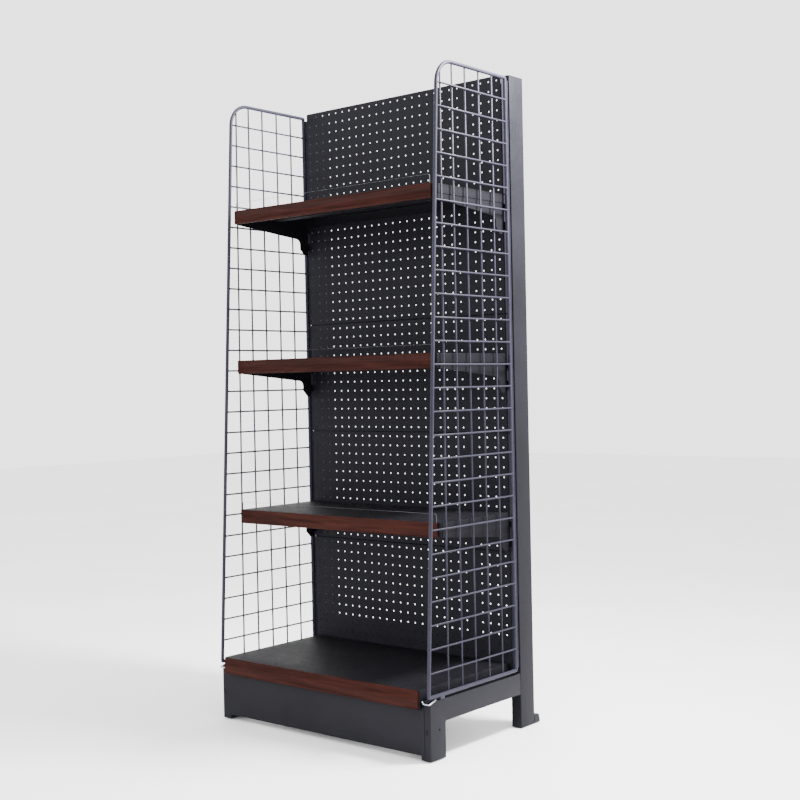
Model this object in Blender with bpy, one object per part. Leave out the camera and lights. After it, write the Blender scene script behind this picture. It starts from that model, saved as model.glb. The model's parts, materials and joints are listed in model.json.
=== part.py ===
"""Single-sided gondola shelving unit: slotted uprights, perforated back, wire side panels.

Metres, +Z up. The front faces -Y, the width runs along X. The origin is on the floor, at the
middle of the unit's bounding box.
"""
from math import cos, pi, radians, sin, sqrt

import bmesh
import bpy
from mathutils import Matrix, Vector

# ---------------------------------------------------------------- driving dimensions
HEIGHT = 2.200  # floor to the top of the upright caps
HALF_WIDTH = 0.470  # centre line to the outer face of an upright
HALF_DEPTH = 0.312  # front price strip to rear heel, halved
GAP = 0.0003  # between pieces that touch

MODULE = 0.400 / 12  # hole pitch of the perforated back
PANEL_COUNT = 5
PANEL_HEIGHT = 12 * MODULE
PANEL_HALF_WIDTH = 0.4503
PANEL_SHEET = 0.0010
PANEL_FRONT_Y = 0.178
BACK_BOTTOM = 0.200

UPRIGHT_WIDTH = 0.040
UPRIGHT_DEPTH = 0.080
UPRIGHT_WALL = 0.0020
UPRIGHT_FRONT_Y = 0.200
UPRIGHT_BOTTOM = 0.006
UPRIGHT_TOP = HEIGHT - 0.003
UPRIGHT_X = HALF_WIDTH - UPRIGHT_WIDTH / 2
SLOT_PITCH = 2 * MODULE
SLOT_COUNT = 31
SLOT_FIRST_Z = BACK_BOTTOM - MODULE
SLOT_HEIGHT = 0.020
BRACKET_SLOT_X = 0.45275
BRACKET_SLOT_WIDTH = 0.0040
LUG_SLOT_X = 0.4625
LUG_SLOT_WIDTH = 0.0050

RAIL_TOP = 0.188
RAIL_BOTTOM = 0.116
LEG_FRONT_Y = -0.290
LEG_REAR_Y = -0.213
LEG_BOTTOM = 0.0025
LEG_HOLE_Y = -0.245
LEG_HOLE_Z = 0.095
BRACKET_WALL = 0.0020

DECK_TOP = 0.2235
DECK_HALF_WIDTH = 0.440
DECK_FRONT_Y = -0.3045
DECK_LIP = 0.0595
SHELF_REAR_Y = 0.175
SHELF_FRONT_Y = -0.2005
SHELF_HALF_WIDTH = 0.4555
SHELF_LIP = 0.0455
SHELF_FLANGE = 0.030
SHELF_SHEET = 0.0012
SHELF_SLOT_ROWS = (8, 16, 24)  # slot row that carries each shelf's upper hooks
HOOK_DROP = MODULE  # shelf top to the centre of its upper slot
LIP_RETURN = 0.012

PLATE = 0.0025  # thickness of a shelf bracket
PLATE_INNER_X = 0.4515
THROAT_RADIUS = 0.020

STRIP_HALF_WIDTH = 0.4450
BASE_STRIP_HALF_WIDTH = 0.436
STOP_RISE = 0.028
STOP_SHEET = 0.0025

KICK_TOP = 0.160
KICK_BOTTOM = 0.018
KICK_HALF_WIDTH = 0.446
KICK_SHEET = 0.0012
KICK_RETURN = 0.014  # depth of its folds behind the front of the legs

MESH_X = 0.4675
MESH_TUBE_RADIUS = 0.0060
MESH_REAR_Y = 0.178
MESH_BOTTOM_Z = 0.2015
MESH_CELL_Z = 0.0735
MESH_CELLS_HIGH = 27
MESH_CELL_Y = 0.0735
WIRE_LEANS = (0.0, 0.0, 0.0, 0.005, 0.018)  # how far each upright wire leans back at the top
MESH_FRONT_LOW_Y = -0.2925
MESH_FRONT_HIGH_Y = -0.191
MESH_CORNER_RADIUS = 0.080
WIRE_HALF = 0.0027
WIRE_OFFSET = 0.0025
LUG_ROWS = (6, 7)
HOOK_STRIP_INNER_X = 0.4558
HOOK_STRIP_FRONT_Y = 0.1835
HOOK_STRIP_SHEET = 0.0030
HOOK_STRIP_INSET = 0.010  # short of the frame at either end
SPACER_FRONT_Y = -0.2385
SPACER_REAR_Y = -0.2165
SPACER_HALF_WIDTH = 0.0045
CLIP_RADIUS = 0.0024
CLIP_TOP_Z = MESH_BOTTOM_Z - MESH_TUBE_RADIUS - 0.003
CLIP_LOW_Z = 0.1785

FOOT_PAD_RADIUS = 0.0145
FOOT_PAD_HEIGHT = 0.006
STUD_RADIUS = 0.0050
STUD_HOLE_RADIUS = 0.0053
FRONT_FOOT_Y = (LEG_FRONT_Y + LEG_REAR_Y) / 2
REAR_FOOT_Y = UPRIGHT_FRONT_Y + UPRIGHT_DEPTH / 2

SIDES = (("left", -1.0), ("right", 1.0))
MESH_TOP_Z = MESH_BOTTOM_Z + MESH_CELLS_HIGH * MESH_CELL_Z


# ---------------------------------------------------------------- materials
def make_material(name, colour, roughness, metallic, alpha=1.0):
    material = bpy.data.materials.new(name)
    material.use_nodes = True
    shader = material.node_tree.nodes["Principled BSDF"]
    shader.inputs["Base Color"].default_value = (*colour, 1.0)
    shader.inputs["Roughness"].default_value = roughness
    shader.inputs["Metallic"].default_value = metallic
    shader.inputs["Alpha"].default_value = alpha
    return material


# ---------------------------------------------------------------- mesh helpers
def new_object(name, bm, material=None):
    bmesh.ops.recalc_face_normals(bm, faces=bm.faces)
    mesh = bpy.data.meshes.new(name)
    bm.to_mesh(mesh)
    bm.free()
    obj = bpy.data.objects.new(name, mesh)
    bpy.context.scene.collection.objects.link(obj)
    if material is not None:
        mesh.materials.append(material)
    return obj


def add_box(bm, low, high):
    corners = [
        bm.verts.new((x, y, z))
        for x in (low[0], high[0])
        for y in (low[1], high[1])
        for z in (low[2], high[2])
    ]
    for face in ((0, 1, 3, 2), (4, 6, 7, 5), (0, 4, 5, 1), (2, 3, 7, 6), (0, 2, 6, 4), (1, 5, 7, 3)):
        bm.faces.new([corners[i] for i in face])


def box_mesh(low, high):
    bm = bmesh.new()
    add_box(bm, low, high)
    return bm


def open_box_mesh(low, high, wall, axis, side):
    """A thin-walled box whose face on one side of one axis is missing."""
    inner_low = [v + wall for v in low]
    inner_high = [v - wall for v in high]
    if side > 0:
        inner_high[axis] = high[axis]
    else:
        inner_low[axis] = low[axis]
    bm = bmesh.new()
    shells = []
    for a, b in ((low, high), (inner_low, inner_high)):
        shells.append(
            [bm.verts.new((x, y, z)) for x in (a[0], b[0]) for y in (a[1], b[1]) for z in (a[2], b[2])]
        )
    faces = {
        (0, -1): (0, 1, 3, 2),
        (0, 1): (4, 6, 7, 5),
        (1, -1): (0, 4, 5, 1),
        (1, 1): (2, 3, 7, 6),
        (2, -1): (0, 2, 6, 4),
        (2, 1): (1, 5, 7, 3),
    }
    for key, corners in faces.items():
        if key == (axis, side):
            for i in range(4):
                a, b = corners[i], corners[(i + 1) % 4]
                bm.faces.new((shells[0][a], shells[0][b], shells[1][b], shells[1][a]))
            continue
        for shell in shells:
            bm.faces.new([shell[i] for i in corners])
    return bm


def circle(centre_u, centre_v, radius, sides):
    """Corners of a regular polygon, as pairs of coordinates in its own plane."""
    return [
        (centre_u + radius * cos(2 * pi * i / sides), centre_v + radius * sin(2 * pi * i / sides))
        for i in range(sides)
    ]


def bridge(bm, near, far):
    """A closed prism between two rings of vertices."""
    bm.faces.new(near)
    bm.faces.new(far)
    for i in range(len(near)):
        j = (i + 1) % len(near)
        bm.faces.new((near[i], near[j], far[j], far[i]))


def add_profile(bm, outline, x_low, x_high):
    """Extrude a closed outline of (y, z) points along X."""
    bridge(bm, *([bm.verts.new((x, y, z)) for y, z in outline] for x in (x_low, x_high)))


def profile_mesh(outline, x_low, x_high):
    bm = bmesh.new()
    add_profile(bm, outline, x_low, x_high)
    return bm


def sheet_outline(points, thickness):
    """The closed outline of a folded sheet whose one skin follows the open line of points."""
    line = [Vector(p) for p in points]
    offset = []
    for i, point in enumerate(line):
        before = (point - line[i - 1]).normalized() if i else None
        after = (line[i + 1] - point).normalized() if i + 1 < len(line) else None
        first = before or after
        second = after or before
        normal_a = Vector((-first.y, first.x))
        normal_b = Vector((-second.y, second.x))
        mitre = (normal_a + normal_b).normalized()
        offset.append(point + mitre * (thickness / mitre.dot(normal_a)))
    return [tuple(p) for p in line] + [tuple(p) for p in reversed(offset)]


def add_cylinder(bm, centre_x, centre_y, z_low, z_high, radius, sides):
    corners = circle(centre_x, centre_y, radius, sides)
    bridge(bm, *([bm.verts.new((x, y, z)) for x, y in corners] for z in (z_low, z_high)))


def add_cross_cylinder(bm, x_low, x_high, y, z, radius, sides):
    corners = circle(y, z, radius, sides)
    bridge(bm, *([bm.verts.new((x, v, w)) for v, w in corners] for x in (x_low, x_high)))


def add_tube(bm, path, radius, sides, closed):
    """Sweep a round bar along a path of 3-D points, with mitred corners."""
    points = [Vector(p) for p in path]
    count = len(points)
    rings = []
    side_axis = None
    for i, point in enumerate(points):
        before = after = None
        if i or closed:
            before = (point - points[i - 1]).normalized()
        if i + 1 < count or closed:
            after = (points[(i + 1) % count] - point).normalized()
        before = before or after
        after = after or before
        tangent = (before + after).normalized()
        if side_axis is None:
            side_axis = Vector((1, 0, 0)) if abs(tangent.x) < 0.9 else Vector((0, 1, 0))
        start = side_axis - before * side_axis.dot(before)
        start.normalize()
        other = before.cross(start)
        ring = []
        for k in range(sides):
            angle = 2 * pi * (k + 0.5) / sides
            spoke = start * (radius * cos(angle)) + other * (radius * sin(angle))
            slide = -spoke.dot(tangent) / before.dot(tangent)
            ring.append(bm.verts.new(point + spoke + before * slide))
        rings.append(ring)
        side_axis = start - after * start.dot(after) if abs(start.dot(after)) < 0.99 else other
        side_axis.normalize()
    spans = count if closed else count - 1
    for i in range(spans):
        a, b = rings[i], rings[(i + 1) % count]
        for k in range(sides):
            m = (k + 1) % sides
            bm.faces.new((a[k], a[m], b[m], b[k]))
    if not closed:
        bm.faces.new(rings[0])
        bm.faces.new(rings[-1])


def combine(target, tool_mesh, operation):
    """Join a mesh to the target, or cut it away, and keep the result as plain mesh data."""
    tool = new_object("tool", tool_mesh)
    tool.hide_render = True
    tool.display_type = "WIRE"
    modifier = target.modifiers.new("combine", "BOOLEAN")
    modifier.operation = operation
    modifier.solver = "EXACT"
    modifier.object = tool
    bpy.context.view_layer.update()
    graph = bpy.context.evaluated_depsgraph_get()
    result = bpy.data.meshes.new_from_object(target.evaluated_get(graph))
    target.modifiers.clear()
    target.data = result
    bpy.data.objects.remove(tool)
    return target


def smooth(obj, angle=40):
    obj.data.shade_smooth()
    obj.data.set_sharp_from_angle(angle=radians(angle))


def group(name, point, members):
    """Hang pieces that move together on one empty, whose place is the origin of their meshes."""
    pivot = bpy.data.objects.new(name, None)
    pivot.location = point
    bpy.context.scene.collection.objects.link(pivot)
    for member in members:
        member.data.transform(Matrix.Translation(-Vector(point)))
        member.parent = pivot
    return pivot


def mirrored(side, low_x, high_x):
    """The ordered X limits of a pair of distances from the centre line, on one side."""
    return tuple(sorted((side * low_x, side * high_x)))


# ---------------------------------------------------------------- uprights and their ends
def slot_z(row):
    return SLOT_FIRST_Z + row * SLOT_PITCH


def make_upright(label, side, steel):
    x_low, x_high = mirrored(side, HALF_WIDTH - UPRIGHT_WIDTH, HALF_WIDTH)
    y_low, y_high = UPRIGHT_FRONT_Y, UPRIGHT_FRONT_Y + UPRIGHT_DEPTH
    obj = new_object(
        f"upright_{label}", box_mesh((x_low, y_low, UPRIGHT_BOTTOM), (x_high, y_high, UPRIGHT_TOP)), steel
    )
    wall = UPRIGHT_WALL
    bore = box_mesh(
        (x_low + wall, y_low + wall, UPRIGHT_BOTTOM - 0.01),
        (x_high - wall, y_high - wall, UPRIGHT_TOP + 0.01),
    )
    combine(obj, bore, "DIFFERENCE")
    slots = bmesh.new()
    for x, width in ((BRACKET_SLOT_X, BRACKET_SLOT_WIDTH), (LUG_SLOT_X, LUG_SLOT_WIDTH)):
        for row in range(SLOT_COUNT):
            z = slot_z(row)
            add_box(
                slots,
                (side * x - width / 2, y_low - 0.002, z - SLOT_HEIGHT / 2),
                (side * x + width / 2, y_low + wall + 0.002, z + SLOT_HEIGHT / 2),
            )
    combine(obj, slots, "DIFFERENCE")
    return obj


def make_upright_cap(label, side, plastic):
    x_low, x_high = mirrored(side, HALF_WIDTH - UPRIGHT_WIDTH, HALF_WIDTH)
    y_low, y_high = UPRIGHT_FRONT_Y, UPRIGHT_FRONT_Y + UPRIGHT_DEPTH
    inset = UPRIGHT_WALL + GAP
    obj = new_object(
        f"upright_cap_{label}", box_mesh((x_low, y_low, UPRIGHT_TOP + GAP), (x_high, y_high, HEIGHT)), plastic
    )
    plug = box_mesh(
        (x_low + inset, y_low + inset, UPRIGHT_TOP - 0.018), (x_high - inset, y_high - inset, HEIGHT - 0.0015)
    )
    return combine(obj, plug, "UNION")


def make_upright_shoe(label, side, plastic):
    """Plug in the foot of an upright, with a heel behind it and a pocket for the levelling foot."""
    x_low, x_high = mirrored(side, HALF_WIDTH - UPRIGHT_WIDTH, HALF_WIDTH)
    y_low, y_high = UPRIGHT_FRONT_Y, UPRIGHT_FRONT_Y + UPRIGHT_DEPTH
    inset = UPRIGHT_WALL + GAP
    top = UPRIGHT_BOTTOM - GAP
    bottom = 0.002
    heel_top = 0.030
    outline = (
        (y_low, bottom),
        (HALF_DEPTH, bottom),
        (HALF_DEPTH, bottom + 0.007),
        (HALF_DEPTH - 0.007, heel_top),
        (y_high + GAP, heel_top),
        (y_high + GAP, top),
        (y_low, top),
    )
    obj = new_object(f"upright_shoe_{label}", profile_mesh(outline, x_low, x_high), plastic)
    plug = box_mesh((x_low + inset, y_low + inset, bottom + 0.001), (x_high - inset, y_high - inset, 0.045))
    combine(obj, plug, "UNION")
    pocket = bmesh.new()
    add_cylinder(pocket, side * UPRIGHT_X, REAR_FOOT_Y, -0.01, 0.010, FOOT_PAD_RADIUS + 0.001, 20)
    combine(obj, pocket, "DIFFERENCE")
    bore = bmesh.new()
    add_cylinder(bore, side * UPRIGHT_X, REAR_FOOT_Y, -0.01, 0.06, STUD_HOLE_RADIUS, 12)
    return combine(obj, bore, "DIFFERENCE")


def make_tie_beam(name, z_low, height, steel):
    """A channel between the uprights, open towards the back."""
    y_front = UPRIGHT_FRONT_Y + 0.004
    depth = 0.030
    points = (
        (y_front + depth, z_low + 0.010),
        (y_front + depth, z_low),
        (y_front, z_low),
        (y_front, z_low + height),
        (y_front + depth, z_low + height),
        (y_front + depth, z_low + height - 0.010),
    )
    reach = HALF_WIDTH - UPRIGHT_WIDTH - GAP
    return new_object(name, profile_mesh(sheet_outline(points, -0.0015), -reach, reach), steel)


# ---------------------------------------------------------------- base
def make_base_bracket(label, side, steel):
    """Hollow rail from the upright forward to its own front leg, with a hook for the upright."""
    x_low, x_high = mirrored(side, HALF_WIDTH - UPRIGHT_WIDTH, HALF_WIDTH)
    rear = UPRIGHT_FRONT_Y - GAP
    wall = BRACKET_WALL
    outline = (
        (LEG_FRONT_Y, LEG_BOTTOM),
        (LEG_REAR_Y, LEG_BOTTOM),
        (LEG_REAR_Y, RAIL_BOTTOM),
        (rear, RAIL_BOTTOM),
        (rear, RAIL_TOP),
        (LEG_FRONT_Y, RAIL_TOP),
    )
    obj = new_object(f"base_bracket_{label}", profile_mesh(outline, x_low, x_high), steel)
    hollow = (
        (LEG_FRONT_Y + wall, LEG_BOTTOM - 0.01),
        (LEG_REAR_Y - wall, LEG_BOTTOM - 0.01),
        (LEG_REAR_Y - wall, RAIL_BOTTOM - 0.01),
        (rear - wall, RAIL_BOTTOM - 0.01),
        (rear - wall, RAIL_TOP - wall),
        (LEG_FRONT_Y + wall, RAIL_TOP - wall),
    )
    combine(obj, profile_mesh(hollow, x_low + wall, x_high - wall), "DIFFERENCE")
    z = slot_z(0)
    hook = box_mesh(
        (side * BRACKET_SLOT_X - PLATE / 2, rear - 0.001, z - 0.009),
        (side * BRACKET_SLOT_X + PLATE / 2, UPRIGHT_FRONT_Y + 0.007, z - 0.001),
    )
    combine(obj, hook, "UNION")
    leg_hole = bmesh.new()
    hole_low, hole_high = mirrored(side, HALF_WIDTH - 0.004, HALF_WIDTH + 0.002)
    add_cross_cylinder(leg_hole, hole_low, hole_high, LEG_HOLE_Y, LEG_HOLE_Z, 0.0034, 12)
    return combine(obj, leg_hole, "DIFFERENCE")


def make_leg_nut_plate(label, side, zinc):
    """Plate inside the front leg that carries the thread of the levelling foot."""
    inset = BRACKET_WALL + GAP
    x_low, x_high = mirrored(side, HALF_WIDTH - UPRIGHT_WIDTH + inset, HALF_WIDTH - inset)
    obj = new_object(
        f"leg_nut_plate_{label}",
        box_mesh((x_low, LEG_FRONT_Y + inset, 0.016), (x_high, LEG_REAR_Y - inset, 0.020)),
        zinc,
    )
    nut = bmesh.new()
    add_cylinder(nut, side * UPRIGHT_X, FRONT_FOOT_Y, 0.019, 0.028, 0.0092, 6)
    combine(obj, nut, "UNION")
    bore = bmesh.new()
    add_cylinder(bore, side * UPRIGHT_X, FRONT_FOOT_Y, 0.0, 0.05, STUD_HOLE_RADIUS, 12)
    return combine(obj, bore, "DIFFERENCE")


def make_foot(name, side, y, stud_top, zinc):
    bm = bmesh.new()
    add_cylinder(bm, side * UPRIGHT_X, y, 0.0, FOOT_PAD_HEIGHT, FOOT_PAD_RADIUS, 20)
    obj = new_object(name, bm, zinc)
    stud = bmesh.new()
    add_cylinder(stud, side * UPRIGHT_X, y, FOOT_PAD_HEIGHT - 0.002, stud_top, STUD_RADIUS, 12)
    return combine(obj, stud, "UNION")


def make_tray(name, half_width, front_y, rear_y, top, lip, flange, steel):
    """Pressed tray: flat top, flanges all round, and a deeper front lip turned back underneath."""
    sheet = SHELF_SHEET
    low = (-half_width, front_y, top - flange)
    high = (half_width, rear_y, top)
    obj = new_object(name, open_box_mesh(low, high, sheet, 2, -1), steel)
    points = (
        (front_y + 0.00005, top - flange + 0.004),
        (front_y + 0.00005, top - lip),
        (front_y + LIP_RETURN, top - lip),
    )
    front = profile_mesh(sheet_outline(points, sheet - 0.0001), -half_width + 0.0002, half_width - 0.0002)
    return combine(obj, front, "UNION")


def make_rib(name, half_length, centre_y, underside, steel):
    """Hat-section stiffener spot-welded under a tray."""
    top = underside - GAP
    points = [
        (centre_y - 0.034, top),
        (centre_y - 0.020, top),
        (centre_y - 0.020, top - 0.018),
        (centre_y + 0.020, top - 0.018),
        (centre_y + 0.020, top),
        (centre_y + 0.034, top),
    ]
    return new_object(name, profile_mesh(sheet_outline(points, -0.0012), -half_length, half_length), steel)


def make_price_strip(name, half_width, lip_y, face_y, top, height, groove, vinyl):
    """Extruded ticket strip with a crowned face; a groove behind its top edge holds the clear stop."""
    back = lip_y - GAP
    lower = top - height
    crown = face_y
    shoulder = back - (back - face_y) * 0.55
    outline = [(back, lower), (back, top - groove)]
    if groove:
        slit = back - STOP_SHEET - GAP
        outline += [(slit, top - groove), (slit, top)]
    outline += [
        (min(shoulder, outline[-1][0] - 0.0016), top),
        (crown, top - 0.46 * height),
        (crown, top - 0.54 * height),
        (shoulder, lower),
    ]
    return new_object(name, profile_mesh(outline, -half_width, half_width), vinyl)


def make_front_stop(name, top, clear):
    """Clear upright strip that keeps goods from sliding off the front."""
    back = SHELF_FRONT_Y - GAP
    half = STRIP_HALF_WIDTH - 0.004
    low = (-half, back - STOP_SHEET, top - 0.012 + GAP)
    high = (half, back, top + STOP_RISE)
    return new_object(name, box_mesh(low, high), clear)


def make_kickplate(steel):
    """Folded plate: its face laps over the front of the legs, and its folds fit between them."""
    rear = LEG_FRONT_Y - GAP
    low = (-KICK_HALF_WIDTH, rear - KICK_SHEET, KICK_BOTTOM)
    obj = new_object("kickplate", box_mesh(low, (KICK_HALF_WIDTH, rear, KICK_TOP)), steel)
    reach = HALF_WIDTH - UPRIGHT_WIDTH - GAP
    folds = bmesh.new()
    for z in (KICK_BOTTOM, KICK_TOP - KICK_SHEET):
        add_box(
            folds,
            (-reach, rear - KICK_SHEET / 2, z),
            (reach, LEG_FRONT_Y + KICK_RETURN, z + KICK_SHEET),
        )
    return combine(obj, folds, "UNION")


# ---------------------------------------------------------------- shelves
def make_shelf_bracket(name, side, top, steel):
    """Cantilever plate: tapered arm, rounded throat, and two hooks that drop behind the slots."""
    outside = UPRIGHT_FRONT_Y - GAP
    inside = UPRIGHT_FRONT_Y + UPRIGHT_WALL + GAP
    edge = SHELF_REAR_Y - 0.0025
    under = top - SHELF_SHEET - GAP
    front = SHELF_FRONT_Y + LIP_RETURN + 0.001
    throat_y = 0.132 - THROAT_RADIUS
    throat_z = top - 0.0765 - THROAT_RADIUS
    outline = [(front, under), (edge, under)]
    for row in range(2):
        centre = top - HOOK_DROP - row * SLOT_PITCH
        ledge = centre - SLOT_HEIGHT / 2 + GAP
        shoulder = min(centre + 0.008, top - SHELF_FLANGE - 0.0015)
        outline += [
            (edge, shoulder),
            (outside, shoulder),
            (outside, ledge + 0.006),
            (inside + 0.004, ledge + 0.006),
            (inside + 0.004, ledge - 0.007),
            (inside, ledge - 0.007),
            (inside, ledge),
            (outside, ledge),
            (outside, centre - 0.018),
            (edge, centre - 0.018),
        ]
    outline += [(edge, top - 0.135), (0.154, top - 0.135), (0.132, top - 0.113)]
    for i in range(7):
        angle = radians(90 * i / 6)
        outline.append((throat_y + THROAT_RADIUS * cos(angle), throat_z + THROAT_RADIUS * sin(angle)))
    outline.append((front, top - 0.0475))
    x_low, x_high = mirrored(side, PLATE_INNER_X, PLATE_INNER_X + PLATE)
    return new_object(name, profile_mesh(outline, x_low, x_high), steel)


# ---------------------------------------------------------------- back panels
def make_back_panel(index, steel):
    low_z = BACK_BOTTOM + index * PANEL_HEIGHT + GAP
    high_z = low_z + PANEL_HEIGHT - 2 * GAP
    low = (-PANEL_HALF_WIDTH, PANEL_FRONT_Y, low_z)
    high = (PANEL_HALF_WIDTH, UPRIGHT_FRONT_Y - GAP, high_z)
    return new_object(f"back_panel_{index + 1}", open_box_mesh(low, high, PANEL_SHEET, 1, 1), steel)


# ---------------------------------------------------------------- wire side panels
def front_tube_y(z):
    share = (z - MESH_BOTTOM_Z) / (MESH_TOP_Z - MESH_BOTTOM_Z)
    return MESH_FRONT_LOW_Y + share * (MESH_FRONT_HIGH_Y - MESH_FRONT_LOW_Y)


def corner_centre():
    """Centre of the arc that joins the leaning front tube to the top tube."""
    lean = (MESH_FRONT_HIGH_Y - MESH_FRONT_LOW_Y) / (MESH_TOP_Z - MESH_BOTTOM_Z)
    z = MESH_TOP_Z - MESH_CORNER_RADIUS
    return front_tube_y(z) + MESH_CORNER_RADIUS * sqrt(1 + lean * lean), z, lean


def frame_path(x):
    y, z, lean = corner_centre()
    tilt = sqrt(1 + lean * lean)
    start = pi / 2 + (pi / 2 - lean / tilt)
    points = [(x, MESH_REAR_Y, MESH_BOTTOM_Z), (x, MESH_FRONT_LOW_Y, MESH_BOTTOM_Z)]
    steps = 6
    for i in range(steps + 1):
        angle = start + (pi / 2 - start) * i / steps
        points.append((x, y + MESH_CORNER_RADIUS * cos(angle), z + MESH_CORNER_RADIUS * sin(angle)))
    points.append((x, MESH_REAR_Y, MESH_TOP_Z))
    return points


def wire_top_z(y):
    centre_y, centre_z, _ = corner_centre()
    if y >= centre_y:
        return MESH_TOP_Z
    return centre_z + sqrt(MESH_CORNER_RADIUS**2 - (centre_y - y) ** 2)


def make_side_panel(label, side, steel):
    """Welded wire grid in a round-tube frame, with a flat strip and two lugs at the upright."""
    x = side * MESH_X
    bm = bmesh.new()
    add_tube(bm, frame_path(x), MESH_TUBE_RADIUS, 8, closed=True)
    obj = new_object(f"side_panel_{label}", bm, steel)

    uprights = bmesh.new()
    inner = x - side * WIRE_OFFSET
    for wire, lean in enumerate(WIRE_LEANS, 1):
        low_y = MESH_REAR_Y - wire * MESH_CELL_Y
        high_y = low_y + lean
        outline = (
            (low_y - WIRE_HALF, MESH_BOTTOM_Z),
            (low_y + WIRE_HALF, MESH_BOTTOM_Z),
            (high_y + WIRE_HALF, wire_top_z(high_y)),
            (high_y - WIRE_HALF, wire_top_z(high_y)),
        )
        add_profile(uprights, outline, inner - WIRE_HALF, inner + WIRE_HALF)
    combine(obj, uprights, "UNION")

    rows = bmesh.new()
    outer = x + side * WIRE_OFFSET
    for row in range(1, MESH_CELLS_HIGH):
        z = MESH_BOTTOM_Z + row * MESH_CELL_Z
        add_box(
            rows,
            (outer - WIRE_HALF, front_tube_y(z), z - WIRE_HALF),
            (outer + WIRE_HALF, MESH_REAR_Y, z + WIRE_HALF),
        )
    combine(obj, rows, "UNION")

    strip = bmesh.new()
    x_low, x_high = mirrored(side, HOOK_STRIP_INNER_X, MESH_X + MESH_TUBE_RADIUS)
    add_box(
        strip,
        (x_low, HOOK_STRIP_FRONT_Y, MESH_BOTTOM_Z + HOOK_STRIP_INSET),
        (x_high, HOOK_STRIP_FRONT_Y + HOOK_STRIP_SHEET, MESH_TOP_Z - HOOK_STRIP_INSET),
    )
    combine(obj, strip, "UNION")

    lugs = bmesh.new()
    lug_x = side * LUG_SLOT_X
    for row in LUG_ROWS:
        z = slot_z(row)
        add_box(
            lugs,
            (lug_x - 0.0015, HOOK_STRIP_FRONT_Y + 0.001, z - 0.004),
            (lug_x + 0.0015, UPRIGHT_FRONT_Y + 0.0075, z + 0.004),
        )
    add_box(
        lugs,
        (x - SPACER_HALF_WIDTH, SPACER_FRONT_Y, RAIL_TOP + GAP),
        (x + SPACER_HALF_WIDTH, SPACER_REAR_Y, MESH_BOTTOM_Z),
    )
    return combine(obj, lugs, "UNION")


def make_side_clip(label, side, zinc):
    """Bent wire under the front corner of a side panel, around the front corner of the base leg."""
    reach = HALF_WIDTH + CLIP_RADIUS + GAP
    front = LEG_FRONT_Y - CLIP_RADIUS - 0.0045
    path = (
        (side * (reach - 0.0285), front, CLIP_TOP_Z - 0.003),
        (side * (reach - 0.0235), front, CLIP_LOW_Z),
        (side * reach, front, CLIP_LOW_Z),
        (side * reach, LEG_FRONT_Y + 0.026, CLIP_TOP_Z),
    )
    bm = bmesh.new()
    add_tube(bm, path, CLIP_RADIUS, 6, closed=False)
    return new_object(f"side_panel_clip_{label}", bm, zinc)


# ---------------------------------------------------------------- assembly
def make_shelf(shelf, top, steel, vinyl, clear):
    """One adjustable shelf: a pair of brackets, and the tray that drops over them."""
    brackets = group(
        f"{shelf}_bracket_axis",
        (0.0, UPRIGHT_FRONT_Y, top - HOOK_DROP),
        [make_shelf_bracket(f"{shelf}_bracket_{label}", side, top, steel) for label, side in SIDES],
    )
    tray = group(
        f"{shelf}_tray_axis",
        (0.0, SHELF_REAR_Y, top),
        (
            make_tray(
                f"{shelf}_tray",
                SHELF_HALF_WIDTH,
                SHELF_FRONT_Y,
                SHELF_REAR_Y,
                top,
                SHELF_LIP,
                SHELF_FLANGE,
                steel,
            ),
            make_rib(f"{shelf}_rib", 0.446, 0.000, top - SHELF_SHEET, steel),
            make_price_strip(
                f"{shelf}_price_strip",
                STRIP_HALF_WIDTH,
                SHELF_FRONT_Y,
                SHELF_FRONT_Y - 0.0080,
                top,
                0.048,
                0.012,
                vinyl,
            ),
            make_front_stop(f"{shelf}_front_stop", top, clear),
        ),
    )
    tray.location -= brackets.location
    tray.parent = brackets


def clear_scene():
    for obj in list(bpy.data.objects):
        bpy.data.objects.remove(obj)


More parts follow.
